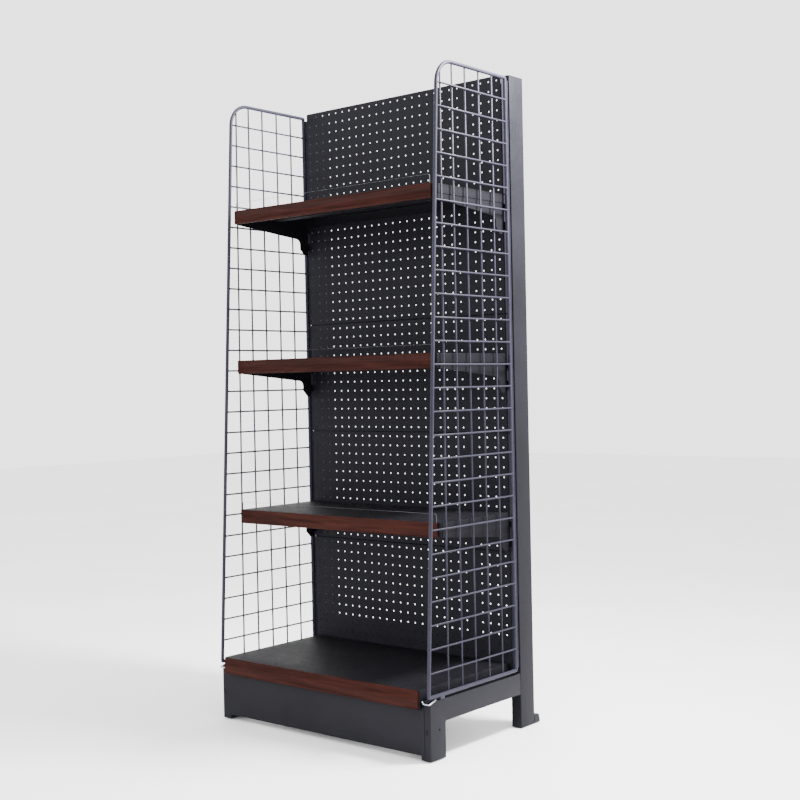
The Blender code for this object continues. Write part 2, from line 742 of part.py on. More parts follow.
def main():
    clear_scene()
    steel = {}
    for name, colour in (
        ("frame_steel", (0.045, 0.047, 0.055)),
        ("shelf_steel", (0.050, 0.051, 0.058)),
        ("panel_steel", (0.032, 0.033, 0.040)),
        ("wire_steel", (0.130, 0.130, 0.160)),
    ):
        steel[name] = make_material(name, colour, 0.45, 0.1)
    vinyl = make_material("wood_vinyl", (0.085, 0.028, 0.020), 0.4, 0.0)
    clear = make_material("clear_plastic", (0.85, 0.88, 0.90), 0.08, 0.0, alpha=0.25)
    zinc = make_material("zinc", (0.62, 0.62, 0.64), 0.3, 0.9)
    plastic = make_material("black_plastic", (0.020, 0.020, 0.022), 0.5, 0.0)

    for label, side in SIDES:
        group(
            f"upright_axis_{label}",
            (side * UPRIGHT_X, REAR_FOOT_Y, 0.0),
            (
                make_upright(label, side, steel["frame_steel"]),
                make_upright_cap(label, side, plastic),
                make_upright_shoe(label, side, plastic),
            ),
        )
        group(
            f"front_leg_axis_{label}",
            (side * UPRIGHT_X, FRONT_FOOT_Y, 0.0),
            (
                make_base_bracket(label, side, steel["frame_steel"]),
                make_leg_nut_plate(label, side, zinc),
            ),
        )
        for name, y, stud_top in (("front", FRONT_FOOT_Y, 0.046), ("rear", REAR_FOOT_Y, 0.060)):
            foot = make_foot(f"{name}_foot_{label}", side, y, stud_top, zinc)
            smooth(foot)
            group(f"{name}_foot_axis_{label}", (side * UPRIGHT_X, y, 0.0), (foot,))
        group(
            f"side_panel_axis_{label}",
            (side * MESH_X, UPRIGHT_FRONT_Y, slot_z(LUG_ROWS[0])),
            (
                make_side_panel(label, side, steel["wire_steel"]),
                make_side_clip(label, side, zinc),
            ),
        )

    make_tie_beam("rear_tie_beam", 0.205, 0.080, steel["frame_steel"])
    for index in range(PANEL_COUNT):
        make_back_panel(index, steel["panel_steel"])
    group("kickplate_axis", (0.0, LEG_FRONT_Y, KICK_BOTTOM), (make_kickplate(steel["frame_steel"]),))

    deck_flange = DECK_TOP - RAIL_TOP - GAP
    deck_strip_height = 0.058
    group(
        "base_deck_axis",
        (0.0, SHELF_REAR_Y, DECK_TOP),
        (
            make_tray(
                "base_deck",
                DECK_HALF_WIDTH,
                DECK_FRONT_Y,
                SHELF_REAR_Y,
                DECK_TOP,
                DECK_LIP,
                deck_flange,
                steel["shelf_steel"],
            ),
            make_rib("base_deck_rib", 0.425, -0.050, DECK_TOP - SHELF_SHEET, steel["shelf_steel"]),
            make_price_strip(
                "base_price_strip",
                BASE_STRIP_HALF_WIDTH,
                DECK_FRONT_Y,
                -HALF_DEPTH,
                DECK_TOP - 0.0005,
                deck_strip_height,
                0.0,
                vinyl,
            ),
        ),
    )
    for number, row in enumerate(SHELF_SLOT_ROWS, start=1):
        make_shelf(f"shelf_{number}", slot_z(row) + HOOK_DROP, steel["shelf_steel"], vinyl, clear)


main()
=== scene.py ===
import json
import math

import bmesh
import bpy
from mathutils import Matrix, Vector


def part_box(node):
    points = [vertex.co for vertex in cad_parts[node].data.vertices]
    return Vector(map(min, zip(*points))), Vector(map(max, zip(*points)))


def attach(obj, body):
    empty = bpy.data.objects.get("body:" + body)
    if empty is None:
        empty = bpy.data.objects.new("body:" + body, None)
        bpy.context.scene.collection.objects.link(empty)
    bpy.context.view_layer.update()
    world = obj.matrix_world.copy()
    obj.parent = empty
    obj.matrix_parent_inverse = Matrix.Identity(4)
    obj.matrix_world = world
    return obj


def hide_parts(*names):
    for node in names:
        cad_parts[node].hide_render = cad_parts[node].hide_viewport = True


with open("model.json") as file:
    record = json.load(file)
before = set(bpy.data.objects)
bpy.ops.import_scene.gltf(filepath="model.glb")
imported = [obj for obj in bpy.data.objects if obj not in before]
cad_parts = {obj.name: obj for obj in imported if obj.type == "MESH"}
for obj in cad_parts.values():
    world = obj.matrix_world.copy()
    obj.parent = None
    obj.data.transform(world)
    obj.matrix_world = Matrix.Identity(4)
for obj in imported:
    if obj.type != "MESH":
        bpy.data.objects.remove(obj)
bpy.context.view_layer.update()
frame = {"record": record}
RECORD = frame["record"]

# ------------------------------------------------------------------ sizes shared by the pieces
MODULE = 0.4 / 12
SLOT_PITCH = 2 * MODULE
SLOT_ROWS = 31
GAP = 0.0003  # clearance that neighbouring pieces keep
SLOT_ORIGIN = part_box("back_panel_1")[0].z - GAP - MODULE
BRACKET_SLOT_X = 0.45275
LUG_SLOT_X = 0.4625
SIDES = (("left", -1.0), ("right", 1.0))
X_AXIS = Vector((1, 0, 0))
Y_AXIS = Vector((0, 1, 0))
Z_AXIS = Vector((0, 0, 1))
HOLE_RADIUS = 0.0029
HOLE_COLUMNS = 27
HOLE_ROWS = 12
PANEL_FOLD = 0.0022
PANEL_SHEET = 0.0010
SHEET = 0.0012
TRAY_FOLD = 0.0028
TRAY_RETURN = 0.0120  # inward hem under the front edge of a tray
TUBE_FOLD = 0.0035
TUBE_WALL = 0.0020
WIRE_RADIUS = 0.0029
WIRE_OFFSET = 0.0025
FRAME_RADIUS = 0.0060


# ------------------------------------------------------------------ node helpers
class Shader:
    """A small helper that adds nodes to one material and links them by value or by socket."""

    def __init__(self, name):
        self.material = bpy.data.materials.new(name)
        self.material.use_nodes = True
        self.tree = self.material.node_tree
        self.tree.nodes.clear()
        self.out = self.tree.nodes.new("ShaderNodeOutputMaterial")
        self.bsdf = self.node("ShaderNodeBsdfPrincipled")
        self.tree.links.new(self.bsdf.outputs[0], self.out.inputs["Surface"])
        self.object_space = self.node("ShaderNodeTexCoord").outputs["Object"]
        self.normal = self.node("ShaderNodeNewGeometry").outputs["Normal"]

    def node(self, kind, settings=None, **inputs):
        node = self.tree.nodes.new(kind)
        for key, value in (settings or {}).items():
            setattr(node, key, value)
        for key, value in inputs.items():
            self.put(node, key.replace("_", " "), value)
        return node

    def put(self, node, key, value):
        socket = node.inputs[int(key) if key.isdigit() else key]
        if isinstance(value, bpy.types.NodeSocket):
            self.tree.links.new(value, socket)
        else:
            socket.default_value = value

    def stretch(self, scale, offset=(0.0, 0.0, 0.0)):
        node = self.node("ShaderNodeMapping")
        self.put(node, "Vector", self.object_space)
        node.inputs["Scale"].default_value = scale
        node.inputs["Location"].default_value = offset
        return node.outputs[0]

    def noise(self, scale, detail=3.0, rough=0.5, vector=None, distortion=0.0):
        node = self.node(
            "ShaderNodeTexNoise", Scale=scale, Detail=detail, Roughness=rough, Distortion=distortion
        )
        self.put(node, "Vector", vector or self.object_space)
        return node.outputs["Fac"]

    def ramp(self, value, low, high, to_low=0.0, to_high=1.0):
        node = self.node("ShaderNodeMapRange")
        self.put(node, "Value", value)
        for key, number in zip(("From Min", "From Max", "To Min", "To Max"), (low, high, to_low, to_high)):
            node.inputs[key].default_value = number
        return node.outputs[0]

    def math(self, operation, a, b=0.0):
        node = self.node("ShaderNodeMath", {"operation": operation})
        self.put(node, "0", a)
        self.put(node, "1", b)
        return node.outputs[0]

    def mix(self, factor, a, b):
        node = self.node("ShaderNodeMix", {"data_type": "RGBA"})
        node.inputs[0].default_value = 0.5
        self.put(node, "0", factor)
        for index, value in ((6, a), (7, b)):
            if isinstance(value, bpy.types.NodeSocket):
                self.tree.links.new(value, node.inputs[index])
            else:
                node.inputs[index].default_value = (*value, 1.0)
        return node.outputs[2]

    def bump(self, height, distance, strength=1.0, before=None):
        node = self.node("ShaderNodeBump", Strength=strength, Distance=distance)
        self.put(node, "Height", height)
        if before is not None:
            self.put(node, "Normal", before)
        return node.outputs[0]

    def facing(self, axis):
        node = self.node("ShaderNodeSeparateXYZ")
        self.put(node, "0", self.normal)
        return node.outputs[axis]

    def finish(self, **inputs):
        for key, value in inputs.items():
            name = key.replace("_", " ")
            if isinstance(value, tuple):
                value = (*value, 1.0)
            self.put(self.bsdf, name, value)
        return self.material


def powder_coat(name, colour, light, roughness, shine=0.09, grain=0.00006):
    """Textured powder coat: orange peel, fine sparkle, cloudy sheen, faint scuffs and settled dust."""
    dust = 0.004
    s = Shader(name)
    cloud = s.noise(5.0, 4.0, 0.6)
    mottle = s.noise(70.0, 3.0, 0.6)
    speck = s.noise(1500.0, 2.0, 0.7)
    base = s.mix(s.ramp(cloud, 0.35, 0.68), colour, light)
    base = s.mix(s.ramp(mottle, 0.45, 0.75, 0.0, 0.35), base, tuple(c * 1.25 for c in light))
    base = s.mix(s.ramp(speck, 0.60, 0.78, 0.0, 0.30), base, tuple(c * 2.2 + 0.003 for c in light))
    rub = s.noise(9.0, 5.0, 0.65, s.stretch((0.6, 6.0, 22.0)), 0.6)
    rub = s.ramp(rub, 0.66, 0.80, 0.0, 0.22)
    base = s.mix(rub, base, tuple(c * 1.9 + 0.003 for c in light))
    up = s.ramp(s.facing("Z"), 0.5, 1.0, 0.0, dust)
    settled = s.math("MULTIPLY", up, s.ramp(s.noise(14.0, 4.0, 0.6), 0.3, 0.75, 0.35, 1.0))
    base = s.mix(settled, base, (0.42, 0.41, 0.40))
    gloss = s.ramp(s.math("ADD", cloud, mottle), 0.7, 1.3, roughness - 0.06, roughness + 0.07)
    gloss = s.math("ADD", gloss, s.math("MULTIPLY", settled, 1.2))
    peel = s.bump(s.noise(520.0, 2.0, 0.5), grain, 0.55)
    peel = s.bump(speck, grain * 0.5, 0.35, peel)
    return s.finish(
        Base_Color=base,
        Roughness=gloss,
        Specular_IOR_Level=shine,
        Normal=peel,
    )


def wood_foil(name):
    """Dark red-brown wood print on extruded plastic: long fibres, pores and a satin lacquer."""
    s = Shader(name)
    fibre = s.noise(7.0, 6.0, 0.62, s.stretch((0.55, 30.0, 30.0)), 0.5)
    figure = s.noise(3.0, 3.0, 0.5, s.stretch((1.3, 14.0, 16.0)), 1.2)
    pores = s.noise(42.0, 2.0, 0.6, s.stretch((0.9, 26.0, 30.0)))
    base = s.mix(s.ramp(fibre, 0.34, 0.66), (0.0085, 0.0020, 0.0014), (0.0245, 0.0060, 0.0042))
    base = s.mix(s.ramp(figure, 0.40, 0.70, 0.0, 0.62), base, (0.0370, 0.0100, 0.0070))
    base = s.mix(s.ramp(pores, 0.60, 0.74, 0.0, 0.75), base, (0.0040, 0.0018, 0.0016))
    gloss = s.ramp(s.noise(30.0, 3.0, 0.6), 0.3, 0.7, 0.30, 0.42)
    front = s.ramp(s.math("ABSOLUTE", s.facing("Y")), 0.4, 0.8)
    grain = s.bump(s.math("MULTIPLY", fibre, front), 0.00010, 0.4)
    grain = s.bump(s.math("MULTIPLY", pores, front), 0.00005, 0.4, grain)
    return s.finish(
        Base_Color=base,
        Roughness=gloss,
        Specular_IOR_Level=0.035,
        Normal=grain,
    )


def clear_sheet(name):
    """Clear extruded plastic: see-through faces, pale cut edges with die lines and a few scuffs."""
    s = Shader(name)
    lines = s.noise(90.0, 2.0, 0.5, s.stretch((0.15, 9.0, 9.0)))
    scuff = s.ramp(s.noise(24.0, 5.0, 0.7, s.stretch((1.0, 5.0, 5.0)), 0.8), 0.62, 0.80, 0.0, 1.0)
    broad = s.math("ABSOLUTE", s.facing("Y"))
    return s.finish(
        Base_Color=s.mix(s.ramp(lines, 0.3, 0.7), (0.050, 0.050, 0.058), (0.085, 0.085, 0.098)),
        Roughness=s.ramp(scuff, 0.0, 1.0, 0.38, 0.60),
        Specular_IOR_Level=0.12,
        Alpha=s.ramp(broad, 0.80, 0.97, 1.0, 0.0),
    )


def zinc_plate(name):
    """Bright zinc plate: fine spangle, drawn lines and a little tarnish."""
    s = Shader(name)
    spangle = s.noise(160.0, 4.0, 0.6)
    drawn = s.noise(300.0, 2.0, 0.5, s.stretch((1.0, 1.0, 0.2)))
    base = s.mix(s.ramp(spangle, 0.35, 0.7), (0.26, 0.27, 0.30), (0.46, 0.47, 0.50))
    base = s.mix(s.ramp(s.noise(40.0, 4.0, 0.6), 0.62, 0.8, 0.0, 0.5), base, (0.33, 0.30, 0.27))
    return s.finish(
        Base_Color=base,
        Metallic=0.95,
        Roughness=s.ramp(spangle, 0.3, 0.7, 0.20, 0.36),
        Normal=s.bump(drawn, 0.00003, 0.4),
    )


def moulded(name, colour, roughness):
    """Moulded plastic with a fine spark-eroded texture."""
    s = Shader(name)
    spark = s.noise(900.0, 3.0, 0.6)
    wear = s.noise(26.0, 4.0, 0.6)
    base = s.mix(s.ramp(wear, 0.4, 0.75, 0.0, 0.6), colour, tuple(c * 1.9 + 0.004 for c in colour))
    return s.finish(
        Base_Color=base,
        Roughness=s.ramp(wear, 0.3, 0.7, roughness - 0.05, roughness + 0.08),
        Specular_IOR_Level=0.12,
        Normal=s.bump(spark, 0.00006, 0.5),
    )


FRAME_COAT = powder_coat("frame_coat", (0.0050, 0.0048, 0.0070), (0.0076, 0.0073, 0.0105), 0.50)
SHELF_COAT = powder_coat("shelf_coat", (0.0034, 0.0032, 0.0047), (0.0052, 0.0049, 0.0070), 0.54, 0.06)
PANEL_COAT = powder_coat("panel_coat", (0.0052, 0.0050, 0.0080), (0.0080, 0.0077, 0.0118), 0.58)
WIRE_COAT = powder_coat("wire_coat", (0.0160, 0.0152, 0.0245), (0.0240, 0.0228, 0.0350), 0.42, grain=0.00003)
WOOD = wood_foil("wood_foil")
CLEAR = clear_sheet("clear_sheet")
ZINC = zinc_plate("zinc_plate")
PLASTIC = moulded("black_moulding", (0.0060, 0.0060, 0.0070), 0.50)
LOOKS = {
    "frame_steel": FRAME_COAT,
    "shelf_steel": SHELF_COAT,
    "panel_steel": PANEL_COAT,
    "wire_steel": WIRE_COAT,
    "wood_vinyl": WOOD,
    "clear_plastic": CLEAR,
    "zinc": ZINC,
    "black_plastic": PLASTIC,
}
SLOT_OF = {row["node"]: row["material_slot"] for row in RECORD["subparts"]}
BODY_OF = {node: body for body, nodes in RECORD["behaviour"]["bodies"].items() for node in nodes}


# ------------------------------------------------------------------ piece helpers
def publish_loose(name, bm, node, angle=35.0):
    """Turn a bmesh into a detail that rides on a node's body and has its finish."""
    bmesh.ops.recalc_face_normals(bm, faces=bm.faces)
    mesh = bpy.data.meshes.new(name)
    bm.to_mesh(mesh)
    bm.free()
    piece = bpy.data.objects.new(name, mesh)
    bpy.context.scene.collection.objects.link(piece)
    mesh.materials.append(LOOKS[SLOT_OF[node]])
    mesh.shade_smooth()
    mesh.set_sharp_from_angle(angle=math.radians(angle))
    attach(piece, BODY_OF[node])
    return piece


def publish(name, bm, node, angle=35.0):
    """Turn a bmesh into the piece that stands for a CAD node, with that node's finish and body."""
    piece = publish_loose(name, bm, node, angle)
    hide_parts(node)
    return piece


def apply_modifiers(piece):
    graph = bpy.context.evaluated_depsgraph_get()
    mesh = bpy.data.meshes.new_from_object(piece.evaluated_get(graph))
    piece.modifiers.clear()
    old = piece.data
    piece.data = mesh
    mesh.name = old.name
    return piece


def soften(piece, width, segments=2, angle=30.0):
    modifier = piece.modifiers.new("edges", "BEVEL")
    modifier.width = width
    modifier.segments = segments
    modifier.limit_method = "ANGLE"
    modifier.angle_limit = math.radians(angle)
    return piece


def folded(points, radius, steps=4):
    """Round the inner corners of an open or closed line of 2-D points."""
    line = [Vector(p) for p in points]
    out = [line[0]]
    for before, corner, after in zip(line, line[1:], line[2:]):
        a = (before - corner).normalized()
        b = (after - corner).normalized()
        half = math.acos(max(-1.0, min(1.0, a.dot(b)))) / 2
        if half > math.radians(88):
            out.append(corner)
            continue
        cut = min(radius / math.tan(half), (before - corner).length * 0.49, (after - corner).length * 0.49)
        actual = cut * math.tan(half)
        centre = corner + (a + b).normalized() * (actual / math.sin(half))
        start = corner + a * cut - centre
        end = corner + b * cut - centre
        sweep = math.pi - 2 * half
        turn = 1.0 if start.x * end.y - start.y * end.x > 0 else -1.0
        for i in range(steps + 1):
            angle = turn * sweep * i / steps
            x = start.x * math.cos(angle) - start.y * math.sin(angle)
            y = start.x * math.sin(angle) + start.y * math.cos(angle)
            out.append(centre + Vector((x, y)))
    out.append(line[-1])
    return out


def rounded_loop(points, radius, steps=4):
    """Round every corner of a closed outline."""
    line = list(points)
    opened = folded([line[-1], *line, line[0]], radius, steps)
    return opened[1:-1]


def thicken(line, thickness):
    """Closed outline of a sheet of a given thickness to the left of an open line."""
    offset = []
    for i, point in enumerate(line):
        first = (point - line[i - 1]).normalized() if i else (line[1] - line[0]).normalized()
        second = (line[i + 1] - point).normalized() if i + 1 < len(line) else first
        a = Vector((-first.y, first.x))
        b = Vector((-second.y, second.x))
        mitre = (a + b).normalized()
        offset.append(point + mitre * (thickness / max(0.3, mitre.dot(a))))
    return list(line) + list(reversed(offset))


def prism(bm, outline, place, low, high):
    """Closed prism of a 2-D outline; place(u, v, w) says where each corner goes."""
    near = [bm.verts.new(place(p[0], p[1], low)) for p in outline]
    far = [bm.verts.new(place(p[0], p[1], high)) for p in outline]
    bm.faces.new(near)
    bm.faces.new(far)
    skin(bm, near, far)


def skin(bm, a, b):
    """Band of quads between two rings with the same number of vertices."""
    for k in range(len(a)):
        m = (k + 1) % len(a)
        bm.faces.new((a[k], a[m], b[m], b[k]))


def along_x(u, v, w):
    return (w, u, v)


def along_y(u, v, w):
    return (u, w, v)


def along_z(u, v, w):
    return (u, v, w)


def spread(low, high, count):
    return [low + (high - low) * i / (count - 1) for i in range(count)]


def circle(x, y, radius, count):
    """Corners of a round outline in 2-D."""
    turns = [math.tau * k / count for k in range(count)]
    return [(x + radius * math.cos(a), y + radius * math.sin(a)) for a in turns]


def rectangle(low_u, low_v, high_u, high_v, inset=0.0):
    return [
        (low_u + inset, low_v + inset),
        (high_u - inset, low_v + inset),
        (high_u - inset, high_v - inset),
        (low_u + inset, high_v - inset),
    ]


def box_shape(bm, low, high, edge=0.0006):
    """A block with small chamfers along its Z edges."""
    outline = [
        (low[0] + edge, low[1]),
        (high[0] - edge, low[1]),
        (high[0], low[1] + edge),
        (high[0], high[1] - edge),
        (high[0] - edge, high[1]),
        (low[0] + edge, high[1]),
        (low[0], high[1] - edge),
        (low[0], low[1] + edge),
    ]
    prism(bm, outline, along_z, low[2], high[2])


def rod(bm, path, radius, sides=12, closed=False):
    """Round bar along a path, mitred at its corners, with softly domed ends."""
    points = [Vector(p) for p in path]
    count = len(points)
    rings = []
    start_axis = None
    for i, point in enumerate(points):
        before = (point - points[i - 1]).normalized() if i or closed else None
        after = (points[(i + 1) % count] - point).normalized() if i + 1 < count or closed else None
        before = before or after
        after = after or before
        tangent = (before + after).normalized()
        if start_axis is None:
            start_axis = X_AXIS if abs(tangent.x) < 0.9 else Y_AXIS
        u = (start_axis - tangent * start_axis.dot(tangent)).normalized()
        v = tangent.cross(u)
        widen = 1.0 / max(0.5, tangent.dot(before))
        bend = before - after
        ring = []
        for across, along in circle(0.0, 0.0, radius, sides):
            spot = u * across + v * along
            if bend.length > 1e-6:
                axis = (bend - tangent * bend.dot(tangent)).normalized()
                spot = spot + axis * (spot.dot(axis) * (widen - 1.0))
            ring.append(bm.verts.new(point + spot))
        rings.append(ring)
        start_axis = u
    spans = count if closed else count - 1
    for i in range(spans):
        skin(bm, rings[i], rings[(i + 1) % count])
    if closed:
        return
    for ring, point, other in ((rings[0], points[0], points[1]), (rings[-1], points[-1], points[-2])):
        out = (point - other).normalized()
        inner = [bm.verts.new(point + (v.co - point) * 0.7 + out * radius * 0.28) for v in ring]
        skin(bm, ring, inner)
        bm.faces.new(inner)


def bead(bm, centre, size, sides=8, rings=4):
    """A small flattened weld bead."""
    centre = Vector(centre)
    rows = []
    for i in range(1, rings):
        latitude = math.pi * i / rings
        along = size[0] * math.cos(latitude)
        ring = circle(0.0, 0.0, math.sin(latitude), sides)
        rows.append([bm.verts.new(centre + Vector((along, size[1] * u, size[2] * v))) for u, v in ring])
    poles = [bm.verts.new(centre + X_AXIS * size[0] * way) for way in (1, -1)]
    for a, b in zip(rows, rows[1:]):
        skin(bm, a, b)
    for row, pole in ((rows[0], poles[0]), (rows[-1], poles[1])):
        for k in range(sides):
            bm.faces.new((row[k], row[(k + 1) % sides], pole))


def cut(piece, bm):
    """Cut closed shapes out of a piece and drop the cutter."""
    bmesh.ops.recalc_face_normals(bm, faces=bm.faces)
    mesh = bpy.data.meshes.new("cutter")
    bm.to_mesh(mesh)
    bm.free()
    tool = bpy.data.objects.new("cutter", mesh)
    bpy.context.scene.collection.objects.link(tool)
    modifier = piece.modifiers.new("cut", "BOOLEAN")
    modifier.operation = "DIFFERENCE"
    modifier.solver = "EXACT"
    modifier.object = tool
    apply_modifiers(piece)
    bpy.data.objects.remove(tool)
    piece.data.set_sharp_from_angle(angle=math.radians(35))
    return piece


def flange(bm, edge, outward, inward, depth_line):
    """Fold a strip off a row of vertices. depth_line is (outward, inward) steps from the row."""
    rows = [edge]
    for out, back in depth_line:
        rows.append([bm.verts.new(v.co + outward * out + inward * back) for v in edge])
    for a, b in zip(rows, rows[1:]):
        for i in range(len(a) - 1):
            bm.faces.new((a[i], a[i + 1], b[i + 1], b[i]))


def fold_line(radius, depth, steps=4, lip=0.0, lip_radius=None):
    """Steps (outward, inward) of a quarter bend, a straight flange and an optional return lip."""
    line = [
        (radius * math.sin(a), radius * (1 - math.cos(a)))
        for a in (math.pi / 2 * i / steps for i in range(1, steps + 1))
    ]
    if not lip:
        return line + [(radius, depth)]
    bend = lip_radius or radius
    line.append((radius, depth - bend))
    for i in range(1, steps + 1):
        a = math.pi / 2 * i / steps
        line.append((radius - bend * (1 - math.cos(a)), depth - bend + bend * math.sin(a)))
    line.append((radius - lip, depth))
    return line


def solidify(piece, thickness):
    modifier = piece.modifiers.new("sheet", "SOLIDIFY")
    modifier.thickness = thickness
    modifier.offset = -1.0
    modifier.use_even_offset = True
    return apply_modifiers(piece)


# ------------------------------------------------------------------ uprights
def slot_outline(width, height, steps=5):
    """An upright slot with round ends."""
    radius = width / 2
    straight = height / 2 - radius
    outline = []
    for centre, start in ((straight, 0.0), (-straight, math.pi)):
        for i in range(steps + 1):
            a = start + math.pi * i / steps
            outline.append((radius * math.cos(a), centre + radius * math.sin(a)))
    return outline


def make_upright(label, side):
    """Square tube with rounded corners, two rows of slots in front and a seam behind."""
    node = f"upright_{label}"
    low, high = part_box(node)
    centre_x = (low.x + high.x) / 2
    bm = bmesh.new()
    outer = rounded_loop(rectangle(low.x, low.y, high.x, high.y), TUBE_FOLD, 5)
    inner = rounded_loop(rectangle(low.x, low.y, high.x, high.y, TUBE_WALL), TUBE_FOLD - TUBE_WALL, 5)
    rings = []
    for outline in (outer, inner):
        for z in (low.z, high.z):
            rings.append([bm.verts.new((p[0], p[1], z)) for p in outline])
    count = len(outer)
    for i in range(count):
        j = (i + 1) % count
        bm.faces.new((rings[0][i], rings[0][j], rings[1][j], rings[1][i]))
        bm.faces.new((rings[2][j], rings[2][i], rings[3][i], rings[3][j]))
        bm.faces.new((rings[0][j], rings[0][i], rings[2][i], rings[2][j]))
        bm.faces.new((rings[1][i], rings[1][j], rings[3][j], rings[3][i]))
    piece = publish(f"{node}_tube", bm, node)

    slots = bmesh.new()
    for x, width in ((BRACKET_SLOT_X, 0.0040), (LUG_SLOT_X, 0.0050)):
        outline = slot_outline(width, 0.020)
        for row in range(SLOT_ROWS):
            z = SLOT_ORIGIN + row * SLOT_PITCH
            placed = [(side * x + u, z + v) for u, v in outline]
            prism(slots, placed, along_y, low.y - 0.003, low.y + TUBE_WALL + 0.003)
    half_seam = 0.0007  # the tube's weld seam, down the middle of its rear wall
    seam = rectangle(centre_x - half_seam, low.z - 0.01, centre_x + half_seam, high.z + 0.01)
    prism(slots, seam, along_y, high.y - 0.0006, high.y + 0.002)
    cut(piece, slots)


def make_cap(label):
    """Moulded cap with a softly crowned top and a shadow line under its rim."""
    node = f"upright_cap_{label}"
    low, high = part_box(node)
    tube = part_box(f"upright_{label}")[1].z
    bm = bmesh.new()
    rim = tube + GAP
    layers = (
        (rim, 0.0004),
        (rim + 0.0004, 0.0),
        (high.z - 0.0009, 0.0),
        (high.z - 0.0003, 0.0008),
        (high.z, 0.0024),
    )
    rings = []
    for z, inset in layers:
        outline = rectangle(low.x, low.y, high.x, high.y, inset)
        rings.append([bm.verts.new((p[0], p[1], z)) for p in rounded_loop(outline, TUBE_FOLD, 5)])
    bm.faces.new(rings[0])
    bm.faces.new(rings[-1])
    for a, b in zip(rings, rings[1:]):
        skin(bm, a, b)
    plug = rectangle(low.x, low.y, high.x, high.y, TUBE_WALL + 0.0004)
    prism(bm, rounded_loop(plug, 0.0016, 3), along_z, low.z, rim - 0.00001)
    return publish(f"{node}_moulding", bm, node)


def make_shoe(label):
    """Moulded shoe: sole, heel with a sloped back, and the open pocket under which the foot sits."""
    node = f"upright_shoe_{label}"
    low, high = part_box(node)
    tube_low, tube_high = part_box(f"upright_{label}")
    foot_low, foot_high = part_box(f"rear_foot_{label}")
    centre = (foot_low + foot_high) / 2
    slope_top = 0.030
    bm = bmesh.new()
    outline = [
        (low.y, low.z),
        (high.y, low.z),
        (high.y, low.z + 0.007),
        (high.y - 0.007, slope_top),
        (tube_high.y + GAP, slope_top),
        (tube_high.y + GAP, tube_low.z - GAP),
        (low.y, tube_low.z - GAP),
    ]
    prism(bm, outline, along_x, low.x, high.x)
    piece = publish(f"{node}_moulding", bm, node)
    pocket = bmesh.new()
    for radius, top in ((0.0155, 0.0055), (0.0053, 0.0100)):
        prism(pocket, circle(centre.x, centre.y, radius, 32), along_z, -0.01, top)
    cut(piece, pocket)
    soften(piece, 0.0008, 2)
    return apply_modifiers(piece)


# ------------------------------------------------------------------ perforated back panels
def make_back_panel(number):
    """Perforated sheet with four returned edges: a square of skin with a hole for each module."""
    node = f"back_panel_{number}"
    low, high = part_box(node)
    base = low.z - GAP
    flat_x = high.x - PANEL_FOLD
    flat_low, flat_high = low.z + PANEL_FOLD, high.z - PANEL_FOLD
    bm = bmesh.new()
    grid = {}

    def corner(x, z):
        x = max(-flat_x, min(flat_x, x))
        z = max(flat_low, min(flat_high, z))
        key = (round(x * 1e5), round(z * 1e5))
        if key not in grid:
            grid[key] = bm.verts.new((x, low.y, z))
        return grid[key]

    half = MODULE / 2
    near = half * math.tan(math.radians(15))
    frame_steps = [
        (half, half), (near, half), (-near, half), (-half, half), (-half, near), (-half, -near),
        (-half, -half), (-near, -half), (near, -half), (half, -half), (half, -near), (half, near),
    ]
    for column in range(HOLE_COLUMNS):
        x = (column - (HOLE_COLUMNS - 1) / 2) * MODULE
        for row in range(HOLE_ROWS):
            z = base + (row + 0.5) * MODULE
            outer = [corner(x + dx, z + dz) for dx, dz in frame_steps]
            angles = [math.radians(45 + 30 * k) for k in range(12)]
            hole = [(x + HOLE_RADIUS * math.cos(a), low.y, z + HOLE_RADIUS * math.sin(a)) for a in angles]
            skin(bm, outer, [bm.verts.new(place) for place in hole])
    steps = fold_line(PANEL_FOLD, high.y - low.y)
    sides = (
        (lambda v: abs(v.co.x - flat_x) < 1e-6, X_AXIS, "z"),
        (lambda v: abs(v.co.x + flat_x) < 1e-6, -X_AXIS, "z"),
        (lambda v: abs(v.co.z - flat_high) < 1e-6, Z_AXIS, "x"),
        (lambda v: abs(v.co.z - flat_low) < 1e-6, -Z_AXIS, "x"),
    )
    border = list(grid.values())
    for test, outward, key in sides:
        edge = sorted((v for v in border if test(v)), key=lambda v: getattr(v.co, key))
        flange(bm, edge, outward, Y_AXIS, steps)
    piece = publish(f"{node}_sheet", bm, node, 40)
    orient(piece, -Y_AXIS)
    solidify(piece, PANEL_SHEET)
    piece.data.set_sharp_from_angle(angle=math.radians(40))


def orient(piece, outward):
    """Turn an open skin so that its flat face looks outward."""
    mesh = piece.data
    total = sum(p.normal.dot(outward) * p.area for p in mesh.polygons if abs(p.normal.dot(outward)) > 0.9)
    if total < 0:
        mesh.flip_normals()


